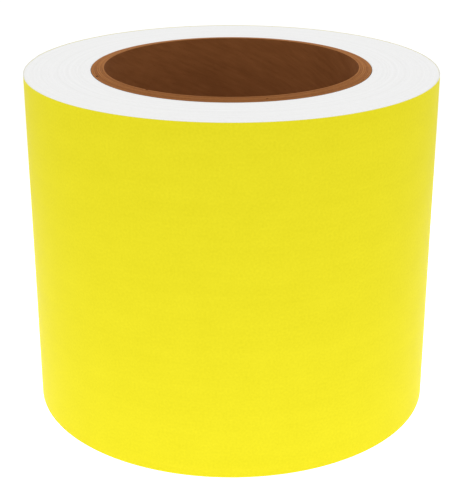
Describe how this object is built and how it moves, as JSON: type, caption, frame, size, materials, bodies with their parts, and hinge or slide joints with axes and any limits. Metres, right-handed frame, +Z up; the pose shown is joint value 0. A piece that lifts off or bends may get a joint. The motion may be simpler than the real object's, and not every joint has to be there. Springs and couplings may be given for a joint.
{
  "type": "roll of sign vinyl",
  "caption": "Upright roll of self-adhesive vinyl sign film on its release liner, wound on a hollow paperboard core, with a loose end that lifts, film that peels back and a closing tab.",
  "frame": {"origin": "centre of the roll's lower end, on the surface it stands on", "axes": "+Z up along the roll's own axis, -Y towards the front; the web's free end is at the back, towards -X"},
  "size_m": [0.1238, 0.1237, 0.1045],
  "materials": {
    "core_bore_paper": "matte",
    "core_board": "matte",
    "start_tape_paper": "matte",
    "web_edges": "matte",
    "release_liner": "satin",
    "vinyl_film": "satin",
    "closure_tab_paper": "matte"
  },
  "bodies": {
    "roll": {"core_bore_ply": "core_bore_paper", "core_ply_2": "core_board", "core_ply_3": "core_board", "core_ply_4": "core_board", "core_ply_5": "core_board", "core_ply_6": "core_board", "core_outer_ply": "core_board", "web_start_tape": "start_tape_paper", "wound_web": "web_edges", "outer_turn_liner": "release_liner", "outer_turn_film": "vinyl_film"},
    "tail_1": {"tail_liner_1": "release_liner", "tail_film_1": "vinyl_film"},
    "tail_2": {"tail_liner_2": "release_liner", "tail_film_2": "vinyl_film"},
    "tail_3": {"tail_liner_3": "release_liner", "tail_film_3": "vinyl_film"},
    "tail_4": {"tail_liner_4": "release_liner", "tail_film_4": "vinyl_film"},
    "tail_5": {"tail_liner_5": "release_liner", "tail_film_5": "vinyl_film"},
    "tail_6": {"tail_liner_6": "release_liner", "tail_film_6": "vinyl_film"},
    "tail_7": {"tail_liner_7": "release_liner", "tail_film_7": "vinyl_film"},
    "tail_8": {"tail_liner_8": "release_liner", "tail_film_8": "vinyl_film"},
    "peel_1": {"peel_film_1": "vinyl_film"},
    "peel_2": {"peel_film_2": "vinyl_film"},
    "film_end": {"peel_film_end": "vinyl_film", "closure_tab_stuck": "closure_tab_paper"},
    "tab": {"closure_tab_pull": "closure_tab_paper"}
  },
  "joints": [
    {"name": "tail_lift", "type": "hinge", "parent": "roll", "child": "tail_1", "pos_m": [-0.00324, 0.06177, 0.052], "axis": [0, 0, -1], "range_deg": [0, 10], "stiffness_Nm_per_rad": 0.002},
    {"name": "tail_bend_2", "type": "hinge", "parent": "tail_1", "child": "tail_2", "pos_m": [-0.01127, 0.06082, 0.052], "axis": [0, 0, -1], "range_deg": [0, 10]},
    {"name": "tail_bend_3", "type": "hinge", "parent": "tail_2", "child": "tail_3", "pos_m": [-0.01912, 0.05883, 0.052], "axis": [0, 0, -1], "range_deg": [0, 10]},
    {"name": "tail_bend_4", "type": "hinge", "parent": "tail_3", "child": "tail_4", "pos_m": [-0.02663, 0.05584, 0.052], "axis": [0, 0, -1], "range_deg": [0, 10]},
    {"name": "tail_bend_5", "type": "hinge", "parent": "tail_4", "child": "tail_5", "pos_m": [-0.0337, 0.05189, 0.052], "axis": [0, 0, -1], "range_deg": [0, 10]},
    {"name": "tail_bend_6", "type": "hinge", "parent": "tail_5", "child": "tail_6", "pos_m": [-0.04018, 0.04705, 0.052], "axis": [0, 0, -1], "range_deg": [0, 10]},
    {"name": "tail_bend_7", "type": "hinge", "parent": "tail_6", "child": "tail_7", "pos_m": [-0.04598, 0.0414, 0.052], "axis": [0, 0, -1], "range_deg": [0, 10]},
    {"name": "tail_bend_8", "type": "hinge", "parent": "tail_7", "child": "tail_8", "pos_m": [-0.051, 0.03505, 0.052], "axis": [0, 0, -1], "range_deg": [0, 10]},
    {"name": "film_peel", "type": "hinge", "parent": "tail_8", "child": "peel_1", "pos_m": [-0.05519, 0.02812, 0.052], "axis": [0, 0, -1], "range_deg": [0, 50], "stiffness_Nm_per_rad": 0.0005},
    {"name": "peel_bend_2", "type": "hinge", "parent": "peel_1", "child": "peel_2", "pos_m": [-0.05691, 0.02445, 0.052], "axis": [0, 0, -1], "range_deg": [0, 50]},
    {"name": "peel_bend_3", "type": "hinge", "parent": "peel_2", "child": "film_end", "pos_m": [-0.05839, 0.02068, 0.052], "axis": [0, 0, -1], "range_deg": [0, 50]},
    {"name": "tab_lift", "type": "hinge", "parent": "film_end", "child": "tab", "pos_m": [-0.06061, 0.01288, 0.052], "axis": [0, 0, -1], "range_deg": [0, 90], "stiffness_Nm_per_rad": 0.00005}
  ],
  "couplings": [
    {"joint": "tail_bend_2", "follows": "tail_lift", "ratio": 1},
    {"joint": "tail_bend_3", "follows": "tail_lift", "ratio": 1},
    {"joint": "tail_bend_4", "follows": "tail_lift", "ratio": 1},
    {"joint": "tail_bend_5", "follows": "tail_lift", "ratio": 1},
    {"joint": "tail_bend_6", "follows": "tail_lift", "ratio": 1},
    {"joint": "tail_bend_7", "follows": "tail_lift", "ratio": 1},
    {"joint": "tail_bend_8", "follows": "tail_lift", "ratio": 1},
    {"joint": "peel_bend_2", "follows": "film_peel", "ratio": 1},
    {"joint": "peel_bend_3", "follows": "film_peel", "ratio": 1}
  ]
}
